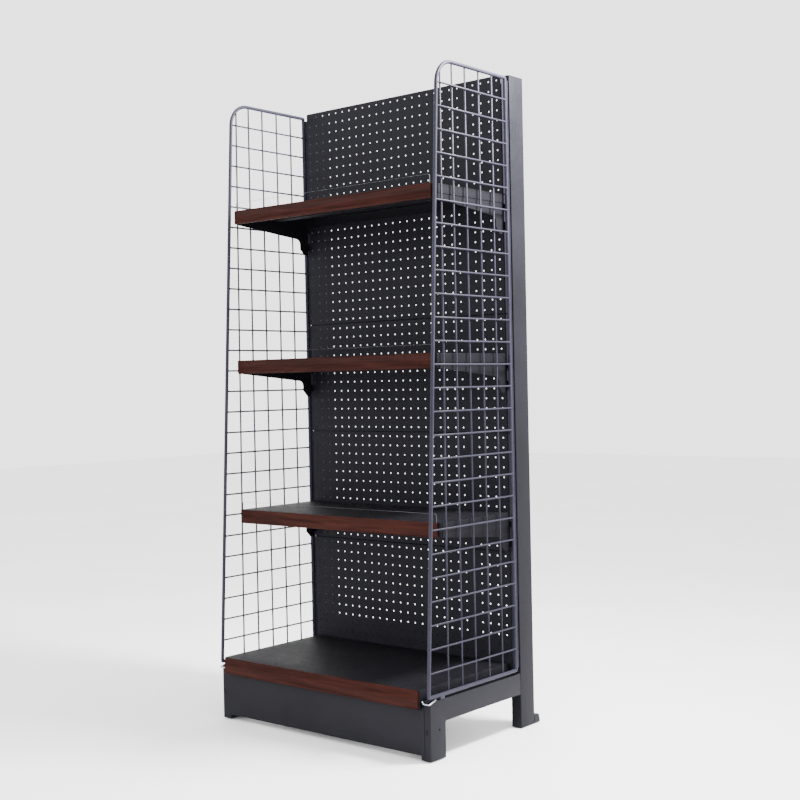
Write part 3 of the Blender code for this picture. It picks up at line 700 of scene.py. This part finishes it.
# ------------------------------------------------------------------ trays, ribs and other sheet work
def make_tray(node, flange_depth):
    """Pressed tray: flat top, flanges on three sides and a deeper, hemmed front lip."""
    low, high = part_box(node)
    lip = high.z - low.z
    bm = bmesh.new()
    r = TRAY_FOLD
    x0, x1 = low.x + r, high.x - r
    y0, y1 = low.y + r, high.y - r
    columns = 24
    rows = 8
    grid = [
        [bm.verts.new((x, y, high.z)) for y in spread(y0, y1, rows + 1)]
        for x in spread(x0, x1, columns + 1)
    ]
    for i in range(columns):
        for j in range(rows):
            bm.faces.new((grid[i][j], grid[i + 1][j], grid[i + 1][j + 1], grid[i][j + 1]))
    front = [column[0] for column in grid]
    rear = [column[-1] for column in grid]
    flange(bm, front, -Y_AXIS, -Z_AXIS, fold_line(r, lip, lip=TRAY_RETURN, lip_radius=0.0022))
    for edge, outward in ((rear, Y_AXIS), (grid[0], -X_AXIS), (grid[-1], X_AXIS)):
        flange(bm, edge, outward, -Z_AXIS, fold_line(r, flange_depth))
    piece = publish(f"{node}_sheet", bm, node, 40)
    orient(piece, Z_AXIS)
    solidify(piece, SHEET)
    piece.data.set_sharp_from_angle(angle=math.radians(40))
    corners = bmesh.new()
    for x in (x0, x1):
        for y, depth in ((y0, lip), (y1, flange_depth)):
            tray_corner(corners, (x, y, high.z), depth)
    publish_loose(f"{node}_corners", corners, node, 40)


def tray_corner(bm, place, depth, sides=20, rings=5):
    """Closed, welded corner between two folded edges of a tray: a post with a rounded head."""
    x, y, top = place
    sunk = 0.00005  # keeps the post just under the sheet's faces
    r = TRAY_FOLD - sunk
    turns = spread(math.pi / 2 * 0.94, 0.0, rings)
    levels = [(r * math.cos(a), top - TRAY_FOLD + r * math.sin(a)) for a in turns]
    levels.append((r, top - depth + 0.0004))
    head = bm.verts.new((x, y, top - sunk))
    loops = [[bm.verts.new((u, v, z)) for u, v in circle(x, y, radius, sides)] for radius, z in levels]
    for k in range(sides):
        bm.faces.new((head, loops[0][k], loops[0][(k + 1) % sides]))
    for upper, lower in zip(loops, loops[1:]):
        skin(bm, upper, lower)
    bm.faces.new(loops[-1])


def make_hat_rib(node):
    low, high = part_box(node)
    centre = (low.y + high.y) / 2
    top = high.z
    bottom = low.z + SHEET
    line = [
        (centre - 0.034, top),
        (centre - 0.0205, top),
        (centre - 0.0195, bottom),
        (centre + 0.0195, bottom),
        (centre + 0.0205, top),
        (centre + 0.034, top),
    ]
    bm = bmesh.new()
    outline = thicken(folded(line, 0.0022), -SHEET)
    prism(bm, outline, along_x, low.x, high.x)
    for x in spread(low.x + 0.03, high.x - 0.03, 12):
        for y in (centre - 0.0275, centre + 0.0275):
            bead(bm, (x, y, top - SHEET), (0.0021, 0.0021, 0.0006), 10, 4)
    return publish(f"{node}_section", bm, node)


def make_tie_beam():
    node = "rear_tie_beam"
    low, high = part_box(node)
    line = [
        (high.y, low.z + 0.010),
        (high.y, low.z),
        (low.y, low.z),
        (low.y, high.z),
        (high.y, high.z),
        (high.y, high.z - 0.010),
    ]
    bm = bmesh.new()
    prism(bm, thicken(folded(line, 0.003), -0.0015), along_x, low.x, high.x)
    return publish(f"{node}_section", bm, node)


def make_kickplate():
    """Folded plate between the legs, with flat ends that lap over their front."""
    node = "kickplate"
    low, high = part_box(node)
    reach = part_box("base_bracket_right")[0].x - GAP
    line = [
        (high.y, low.z),
        (low.y, low.z),
        (low.y, high.z),
        (high.y, high.z),
    ]
    bm = bmesh.new()
    prism(bm, thicken(folded(line, 0.0012), -SHEET), along_x, -reach, reach)
    for side in (-1, 1):
        near, far = sorted((side * (reach - 0.0001), side * high.x))
        box_shape(bm, (near, low.y, low.z + 0.0004), (far, low.y + SHEET, high.z - 0.0004), 0.0003)
    return publish(f"{node}_panel", bm, node)


# ------------------------------------------------------------------ base brackets and their fittings
LEG_DEPTH = 0.077
LEG_HOLE_Y = -0.245
LEG_HOLE_Z = 0.095
RAIL_BOTTOM_Z = 0.116
# Stop tab welded to the rear end of each rail: it closes the corner below the lowest panel.
TAB_INNER_X = 0.4180
TAB_OUTER_X = 0.4455
TAB_Y = 0.1905
TAB_LOW_Z = 0.1500
TAB_TOP_Z = 0.2000
EAR_INNER_X = 0.4509  # beside the panel, up to the side panel's hook strip
EAR_OUTER_X = 0.4690
EAR_TOP_Z = 0.2110


def make_base_bracket(label, side):
    """Folded rail and front leg, hollow inside, with its hook and rear stop tab."""
    node = f"base_bracket_{label}"
    low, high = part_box(node)
    leg_rear = low.y + LEG_DEPTH
    rail_bottom = RAIL_BOTTOM_Z
    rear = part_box(f"upright_{label}")[0].y - GAP
    outer_x = side * max(abs(low.x), abs(high.x))
    bm = bmesh.new()
    outline = rounded_side(
        [
            (low.y, low.z),
            (leg_rear, low.z),
            (leg_rear, rail_bottom),
            (rear, rail_bottom),
            (rear, high.z),
            (low.y, high.z),
        ],
        {2: 0.006, 5: 0.0025},
    )
    prism(bm, outline, along_x, low.x, high.x)
    piece = publish(f"{node}_folding", bm, node)
    soften(piece, 0.0022, 4, 60)
    apply_modifiers(piece)
    hollow = bmesh.new()
    wall = 0.0020
    prism(
        hollow,
        [
            (low.y + wall, low.z - 0.01),
            (leg_rear - wall, low.z - 0.01),
            (leg_rear - wall, rail_bottom - 0.01),
            (rear - wall, rail_bottom - 0.01),
            (rear - wall, high.z - wall),
            (low.y + wall, high.z - wall),
        ],
        along_x,
        low.x + wall,
        high.x - wall,
    )
    cut(piece, hollow)
    holes = bmesh.new()
    ring = circle(LEG_HOLE_Y, LEG_HOLE_Z, 0.0034, 24)
    prism(holes, ring, along_x, *sorted((outer_x - side * 0.004, outer_x + side * 0.002)))
    slot = slot_outline(0.0034, 0.016)
    centre_x = (low.x + high.x) / 2 + side * 0.006
    placed = [(centre_x + u, 0.094 + v) for u, v in slot]
    prism(holes, placed, along_y, low.y - 0.002, low.y + 0.004)
    cut(piece, holes)
    hook = bmesh.new()
    hook_x, half_plate = side * BRACKET_SLOT_X, 0.00125
    hook_low = (hook_x - half_plate, rear - 0.001, SLOT_ORIGIN - 0.009)
    hook_high = (hook_x + half_plate, high.y, SLOT_ORIGIN - 0.001)
    box_shape(hook, hook_low, hook_high, 0.0004)
    tab = sorted((side * TAB_INNER_X, side * TAB_OUTER_X))
    box_shape(hook, (tab[0], TAB_Y, TAB_LOW_Z), (tab[1], TAB_Y + SHEET, TAB_TOP_Z), 0.0004)
    ear = sorted((side * EAR_INNER_X, side * EAR_OUTER_X))
    box_shape(hook, (ear[0], TAB_Y, high.z - 0.004), (ear[1], TAB_Y + SHEET, EAR_TOP_Z), 0.0004)
    publish_loose(f"{node}_hook", hook, node)


def rounded_side(points, radii, steps=5):
    """Round chosen corners of a closed outline."""
    out = []
    count = len(points)
    for i, point in enumerate(points):
        if i not in radii:
            out.append(Vector(point))
            continue
        trio = folded([points[i - 1], point, points[(i + 1) % count]], radii[i], steps)
        out.extend(trio[1:-1])
    return out


def make_foot(node):
    """Screw-in foot: turned pad with a grip edge, a collar and a threaded stud."""
    low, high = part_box(node)
    centre = (low + high) / 2
    radius = (high.x - low.x) / 2
    bm = bmesh.new()
    sides = 48
    thread = 0.0010
    profile = [
        (radius - 0.0016, low.z),
        (radius - 0.0004, low.z + 0.0007),
        (radius, low.z + 0.0018),
        (radius, low.z + 0.0044),
        (radius - 0.0009, low.z + 0.0056),
        (radius - 0.0030, low.z + 0.0060),
        (0.0072, low.z + 0.0060),
        (0.0068, low.z + 0.0062),
    ]
    z = low.z + 0.0064
    while z < high.z - 0.0016:
        profile.append((0.00490, z))
        profile.append((0.00420, z + thread / 2))
        z += thread
    profile.append((0.0046, high.z - 0.0010))
    profile.append((0.0036, high.z))
    rings = []
    for r, z in profile:
        ring = []
        for k in range(sides):
            a = math.tau * k / sides
            reach = r * (1.0 - (0.025 if r > radius - 0.0003 and k % 2 else 0.0))
            ring.append(bm.verts.new((centre.x + reach * math.cos(a), centre.y + reach * math.sin(a), z)))
        rings.append(ring)
    bm.faces.new(rings[0])
    bm.faces.new(rings[-1])
    for a, b in zip(rings, rings[1:]):
        skin(bm, a, b)
    return publish(f"{node}_turned", bm, node, 50)


def make_nut_plate(label):
    """Plate inside the leg with a bored hexagonal nut welded on top."""
    node = f"leg_nut_plate_{label}"
    low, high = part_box(node)
    centre = (low + high) / 2
    plate_top = low.z + 0.004
    nut_low = plate_top + 0.0001
    bore_radius = 0.0053
    bm = bmesh.new()
    box_shape(bm, (low.x, low.y, low.z), (high.x, high.y, plate_top), 0.0012)
    piece = publish(f"{node}_plate", bm, node)
    hole = bmesh.new()
    prism(hole, circle(centre.x, centre.y, bore_radius, 24), along_z, low.z - 0.01, high.z + 0.01)
    cut(piece, hole)

    nut = bmesh.new()
    sides = 48
    flats = (0.0088, nut_low, True), (0.0092, low.z + 0.0048, True), (0.0092, high.z - 0.0008, True)
    rings = []
    for radius, z, hexagonal in (*flats, (0.0082, high.z, False)):
        ring = []
        for k in range(sides):
            a = math.tau * k / sides
            reach = radius
            if hexagonal:
                reach *= math.cos(math.pi / 6) / math.cos(a % (math.pi / 3) - math.pi / 6)
            ring.append(nut.verts.new((centre.x + reach * math.cos(a), centre.y + reach * math.sin(a), z)))
        rings.append(ring)
    for z in (high.z, nut_low):
        rings.append([nut.verts.new((u, v, z)) for u, v in circle(centre.x, centre.y, bore_radius, sides)])
    for a, b in zip(rings, rings[1:] + rings[:1]):
        skin(nut, a, b)
    publish_loose(f"{node}_nut", nut, node)


# ------------------------------------------------------------------ shelves
def make_shelf_bracket(node, top):
    """Cantilever plate: two hooks behind the upright's slots, a rounded throat and a tapering arm."""
    low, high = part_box(node)
    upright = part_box("upright_right")[0].y
    outside = upright - GAP
    inside = upright + TUBE_WALL + GAP
    edge = 0.1725  # rear edge of the plate, in front of the panels
    points = [(low.y, high.z), (edge, high.z)]
    radii = {0: 0.003, 1: 0.002}
    for row in range(2):
        centre = top - MODULE - row * SLOT_PITCH
        ledge = centre - 0.010 + GAP
        shoulder = min(centre + 0.008, top - 0.0315)
        start = len(points)
        points += [
            (edge, shoulder),
            (outside, shoulder),
            (outside, ledge + 0.006),
            (inside + 0.004, ledge + 0.006),
            (inside + 0.004, ledge - 0.007),
            (inside, ledge - 0.007),
            (inside, ledge),
            (outside, ledge),
            (outside, centre - 0.018),
            (edge, centre - 0.018),
        ]
        radii |= {start: 0.0015, start + 1: 0.0015, start + 3: 0.0024, start + 4: 0.0018, start + 8: 0.0015}
    neck = len(points)
    points += [(edge, top - 0.135), (0.154, top - 0.135), (0.132, top - 0.113)]
    radii |= {neck: 0.003, neck + 1: 0.004, neck + 2: 0.006}
    throat_y, throat_z, throat_radius = 0.112, top - 0.0965, 0.020
    for a in spread(0.0, math.pi / 2, 13):
        points.append((throat_y + throat_radius * math.cos(a), throat_z + throat_radius * math.sin(a)))
    radii[len(points)] = 0.004
    points.append((low.y, top - 0.0475))
    bm = bmesh.new()
    prism(bm, rounded_side(points, radii, 4), along_x, low.x, high.x)
    piece = publish(f"{node}_plate", bm, node)
    soften(piece, 0.00035, 2, 50)
    return apply_modifiers(piece)


def strip_section(back, face, top, height, groove):
    """Section of a price strip: rolled top and bottom edges and two long facets that meet in a ridge."""
    depth = back - face
    bottom = top - height
    ridge = top - 0.50 * height
    outline = [(back, bottom + 0.0008), (back, top - groove)]
    if groove:
        slit = back - 0.0028
        outline += [(slit, top - groove), (slit, top - 0.0006)]
    start = outline[-1][0]
    outline += [
        (start - 0.0006, top),
        (start - 0.0014, top),
        (min(start - 0.0021, back - 0.55 * depth), top - 0.0008),
        (back - 0.60 * depth, top - 0.0038),
        (back - 0.54 * depth, top - 0.0048),
        (face + 0.0007, ridge + 0.0042),
        (face + 0.0001, ridge + 0.0020),
        (face, ridge),
        (face + 0.0001, ridge - 0.0020),
        (face + 0.0007, ridge - 0.0042),
        (back - 0.54 * depth, bottom + 0.0050),
        (back - 0.60 * depth, bottom + 0.0040),
        (back - 0.58 * depth, bottom + 0.0010),
        (back - 0.45 * depth, bottom),
        (back - 0.0008, bottom),
    ]
    return outline


def make_price_strip(node, groove):
    """Extruded strip; a groove depth above zero opens a slit for the clear stop."""
    low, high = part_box(node)
    bm = bmesh.new()
    outline = strip_section(high.y, low.y, high.z, high.z - low.z, groove)
    rings = [[bm.verts.new((x, y, z)) for y, z in outline] for x in spread(low.x, high.x, 41)]
    bm.faces.new(rings[0])
    bm.faces.new(rings[-1])
    for a, b in zip(rings, rings[1:]):
        skin(bm, a, b)
    return publish(f"{node}_extrusion", bm, node, 28)


def make_front_stop(node):
    """Clear sheet with rounded upper corners."""
    low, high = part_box(node)
    bm = bmesh.new()
    upper_corners = {2: 0.006, 3: 0.006}
    outline = rounded_side(rectangle(low.x, low.z, high.x, high.z), upper_corners, 6)
    prism(bm, outline, along_y, low.y, high.y)
    piece = publish(f"{node}_sheet", bm, node, 30)
    soften(piece, 0.0005, 2, 50)
    return apply_modifiers(piece)


# ------------------------------------------------------------------ wire side panels
FRAME_X = 0.4675
FRAME_REAR_Y = 0.178
FRAME_LOW_Y = -0.2925  # front tube at the bottom
FRAME_HIGH_Y = -0.191  # front tube at the top, before its round corner
FRAME_BOTTOM_Z = 0.2015
FRAME_CORNER = 0.080
CELL_Y = 0.0735
CELL_Z = 0.0735
CELLS_HIGH = 27
WIRE_LEANS = (0.0, 0.0, 0.0, 0.005, 0.018)  # how far each upright wire's top leans back
HOOK_STRIP_INNER_X = 0.4558
HOOK_STRIP_Y = 0.1835
HOOK_STRIP_INSET = 0.010  # short of the frame at either end
LUG_ROWS = (6, 7)
SPACER_Y = (-0.2385, -0.2165)  # front and rear of the block that rests on the rail
FRAME_TOP_Z = FRAME_BOTTOM_Z + CELLS_HIGH * CELL_Z
FRAME_LEAN = (FRAME_HIGH_Y - FRAME_LOW_Y) / (FRAME_TOP_Z - FRAME_BOTTOM_Z)
ARC_Z = FRAME_TOP_Z - FRAME_CORNER
ARC_Y = FRAME_LOW_Y + FRAME_LEAN * (ARC_Z - FRAME_BOTTOM_Z) + FRAME_CORNER * math.sqrt(1 + FRAME_LEAN**2)


def panel_frame_path(x):
    """Closed centre line of the tube: level bottom, leaning front, round top corner, level top."""
    low, high, rear, front = FRAME_BOTTOM_Z, FRAME_TOP_Z, FRAME_REAR_Y, FRAME_LOW_Y
    points = [
        (x, rear, low + 0.006),
        (x, rear - 0.0014, low + 0.0014),
        (x, rear - 0.006, low),
        (x, front + 0.006, low),
        (x, front + 0.0012, low + 0.0014),
        (x, front + 0.0003, low + 0.006),
    ]
    for a in spread(math.pi - math.atan(FRAME_LEAN), math.pi / 2, 15):
        points.append((x, ARC_Y + FRAME_CORNER * math.cos(a), ARC_Z + FRAME_CORNER * math.sin(a)))
    points += [(x, rear - 0.006, high), (x, rear - 0.0012, high - 0.0014), (x, rear, high - 0.006)]
    return points


def frame_top(y):
    """Height of the tube's centre line above a point of the panel."""
    if y >= ARC_Y:
        return FRAME_TOP_Z
    return ARC_Z + math.sqrt(FRAME_CORNER**2 - (ARC_Y - y) ** 2)


def frame_front(z):
    """Depth of the front tube's centre line at one height."""
    if z > ARC_Z:
        return ARC_Y - math.sqrt(FRAME_CORNER**2 - (z - ARC_Z) ** 2)
    return FRAME_LOW_Y + FRAME_LEAN * (z - FRAME_BOTTOM_Z)


def make_side_panel(label, side):
    """Tube frame with welded wires, and the hook strip, lugs and spacer that locate it."""
    node = f"side_panel_{label}"
    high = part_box(node)[1]
    x = side * FRAME_X
    bm = bmesh.new()
    rod(bm, panel_frame_path(x), FRAME_RADIUS, 20, closed=True)
    publish(f"{node}_tube", bm, node, 60)

    wires = bmesh.new()
    inner = x - side * WIRE_OFFSET
    outer = x + side * WIRE_OFFSET
    columns = [(FRAME_REAR_Y - k * CELL_Y, lean) for k, lean in enumerate(WIRE_LEANS, 1)]
    rows = [FRAME_BOTTOM_Z + k * CELL_Z for k in range(1, CELLS_HIGH)]
    for y, lean in columns:
        rod(wires, [(inner, y, FRAME_BOTTOM_Z), (inner, y + lean, frame_top(y + lean))], WIRE_RADIUS, 12)
    for z in rows:
        rod(wires, [(outer, frame_front(z), z), (outer, FRAME_REAR_Y, z)], WIRE_RADIUS, 12)
    publish_loose(f"{node}_wires", wires, node, 60)

    welds = bmesh.new()
    tall = FRAME_TOP_Z - FRAME_BOTTOM_Z
    for z in rows:
        for y, lean in columns:
            place = (x, y + lean * (z - FRAME_BOTTOM_Z) / tall, z)
            bead(welds, place, (0.0022, 0.0037, 0.0037), 8, 4)
        for y, way in ((frame_front(z), 1), (FRAME_REAR_Y, -1)):
            bead(welds, (outer, y + way * 0.0062, z), (0.0030, 0.0022, 0.0036), 8, 4)
    for y, lean in columns:
        bead(welds, (inner, y, FRAME_BOTTOM_Z + 0.0062), (0.0030, 0.0036, 0.0022), 8, 4)
        bead(welds, (inner, y + lean, frame_top(y + lean) - 0.0062), (0.0030, 0.0036, 0.0022), 8, 4)
    publish_loose(f"{node}_welds", welds, node, 80)

    lugs = bmesh.new()
    near, far = sorted((side * HOOK_STRIP_INNER_X, side * (FRAME_X + FRAME_RADIUS - 0.0002)))
    strip_low = (near, HOOK_STRIP_Y, FRAME_BOTTOM_Z + HOOK_STRIP_INSET)
    strip_high = (far, HOOK_STRIP_Y + 0.003, FRAME_TOP_Z - HOOK_STRIP_INSET)
    box_shape(lugs, strip_low, strip_high, 0.0006)
    lug_low_x, lug_high_x = (side * LUG_SLOT_X + half for half in (-0.0015, 0.0015))
    for row in LUG_ROWS:
        z = SLOT_ORIGIN + row * SLOT_PITCH
        lug_low = (lug_low_x, HOOK_STRIP_Y + 0.001, z - 0.004)
        box_shape(lugs, lug_low, (lug_high_x, high.y, z + 0.004), 0.0005)
    spacer_low = (x - 0.0045, SPACER_Y[0], 0.1884)
    spacer_high = (x + 0.0045, SPACER_Y[1], FRAME_BOTTOM_Z - 0.003)
    box_shape(lugs, spacer_low, spacer_high, 0.0008)
    publish_loose(f"{node}_lugs", lugs, node)


def make_clip(label, side):
    """Bent bright wire around the leg's front corner, under the panel's front corner."""
    node = f"side_panel_clip_{label}"
    bar = 0.0024
    reach = 0.4727
    bend_z = 0.1820
    leg_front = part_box(f"base_bracket_{label}")[0].y
    front = leg_front - bar - 0.0045
    top = FRAME_BOTTOM_Z - FRAME_RADIUS - 0.003
    path = [
        (side * (reach - 0.0285), front, top - 0.003),
        (side * (reach - 0.0235), front, bend_z),
        (side * reach, front, bend_z),
        (side * reach, leg_front + 0.026, top),
    ]
    bm = bmesh.new()
    rod(bm, smooth_path(path, 0.004), bar, 14)
    return publish(f"{node}_wire", bm, node, 60)


def smooth_path(points, radius, steps=5):
    """Round the corners of a 3-D line."""
    line = [Vector(p) for p in points]
    out = [line[0]]
    for before, corner, after in zip(line, line[1:], line[2:]):
        a, b = before - corner, after - corner
        cut_length = min(radius, a.length * 0.45, b.length * 0.45)
        start = corner + a.normalized() * cut_length
        end = corner + b.normalized() * cut_length
        for i in range(steps + 1):
            t = i / steps
            out.append(start * (1 - t) ** 2 + corner * (2 * t * (1 - t)) + end * t**2)
    out.append(line[-1])
    return out


# ------------------------------------------------------------------ make every piece
for label, side in SIDES:
    make_upright(label, side)
    make_cap(label)
    make_shoe(label)
    make_base_bracket(label, side)
    make_nut_plate(label)
    make_foot(f"front_foot_{label}")
    make_foot(f"rear_foot_{label}")
    make_side_panel(label, side)
    make_clip(label, side)
for number in range(1, 6):
    make_back_panel(number)
make_tie_beam()
make_kickplate()
make_tray("base_deck", 0.0352)
make_hat_rib("base_deck_rib")
make_price_strip("base_price_strip", 0.0)
for number in (1, 2, 3):
    shelf = f"shelf_{number}"
    shelf_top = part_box(f"{shelf}_tray")[1].z
    make_tray(f"{shelf}_tray", 0.030)
    make_hat_rib(f"{shelf}_rib")
    for label, _ in SIDES:
        make_shelf_bracket(f"{shelf}_bracket_{label}", shelf_top)
    make_price_strip(f"{shelf}_price_strip", 0.012)
    make_front_stop(f"{shelf}_front_stop")


# ------------------------------------------------------------------ floor, light and camera
def make_floor():
    s = Shader("studio_floor")
    tone = s.mix(s.ramp(s.noise(1.2, 3.0, 0.5), 0.3, 0.7), (0.86, 0.86, 0.87), (0.90, 0.90, 0.90))
    relief = s.bump(s.noise(240.0, 3.0, 0.6), 0.0001, 0.2)
    material = s.finish(Base_Color=tone, Roughness=0.62, Normal=relief)
    bm = bmesh.new()
    reach = 14.0
    level = -0.0005  # just under the feet
    bm.faces.new([bm.verts.new((x, y, level)) for x, y in rectangle(-reach, -reach, reach, reach)])
    mesh = bpy.data.meshes.new("floor")
    bm.to_mesh(mesh)
    bm.free()
    floor = bpy.data.objects.new("floor", mesh)
    bpy.context.scene.collection.objects.link(floor)
    mesh.materials.append(material)


def area_light(name, place, target, size, power):
    light = bpy.data.lights.new(name, "AREA")
    light.shape = "RECTANGLE"
    light.size, light.size_y = size
    light.energy = power
    lamp = bpy.data.objects.new(name, light)
    lamp.location = place
    lamp.rotation_euler = (Vector(target) - Vector(place)).to_track_quat("-Z", "Y").to_euler()
    bpy.context.scene.collection.objects.link(lamp)


def make_light():
    world = bpy.data.worlds.new("studio")
    world.use_nodes = True
    background = world.node_tree.nodes["Background"]
    background.inputs["Color"].default_value = (1.0, 1.0, 1.0, 1.0)
    background.inputs["Strength"].default_value = 2.8
    bpy.context.scene.world = world
    area_light("key", (-2.6, -3.6, 3.4), (0.0, 0.0, 1.1), (2.4, 2.4), 60.0)
    area_light("top_right", (1.25, 0.45, 2.75), (0.47, 0.24, 2.05), (0.5, 0.5), 330.0)
    area_light("side", (4.6, 1.6, 1.5), (0.4, 0.1, 0.9), (3.0, 2.6), 170.0)


def make_camera():
    """The photograph's camera: angles in radians, place, and focal length in picture widths."""
    yaw, pitch, roll = 0.69604, -0.01346, -0.02071
    focal = 1.61075
    place = Vector((2.9502, -3.3723, 1.1760))
    forward = Vector((-math.sin(yaw) * math.cos(pitch), math.cos(yaw) * math.cos(pitch), math.sin(pitch)))
    right = forward.cross(Z_AXIS).normalized()
    up = right.cross(forward)
    turned_right = right * math.cos(roll) + up * math.sin(roll)
    turned_up = -right * math.sin(roll) + up * math.cos(roll)
    camera = bpy.data.cameras.new("camera")
    camera.sensor_width = 36.0
    camera.lens = camera.sensor_width * focal
    camera.clip_end = 60.0
    holder = bpy.data.objects.new("camera", camera)
    matrix = Matrix((turned_right, turned_up, -forward)).transposed().to_4x4()
    matrix.translation = place
    holder.matrix_world = matrix
    bpy.context.scene.collection.objects.link(holder)
    bpy.context.scene.camera = holder


make_floor()
make_light()
make_camera()
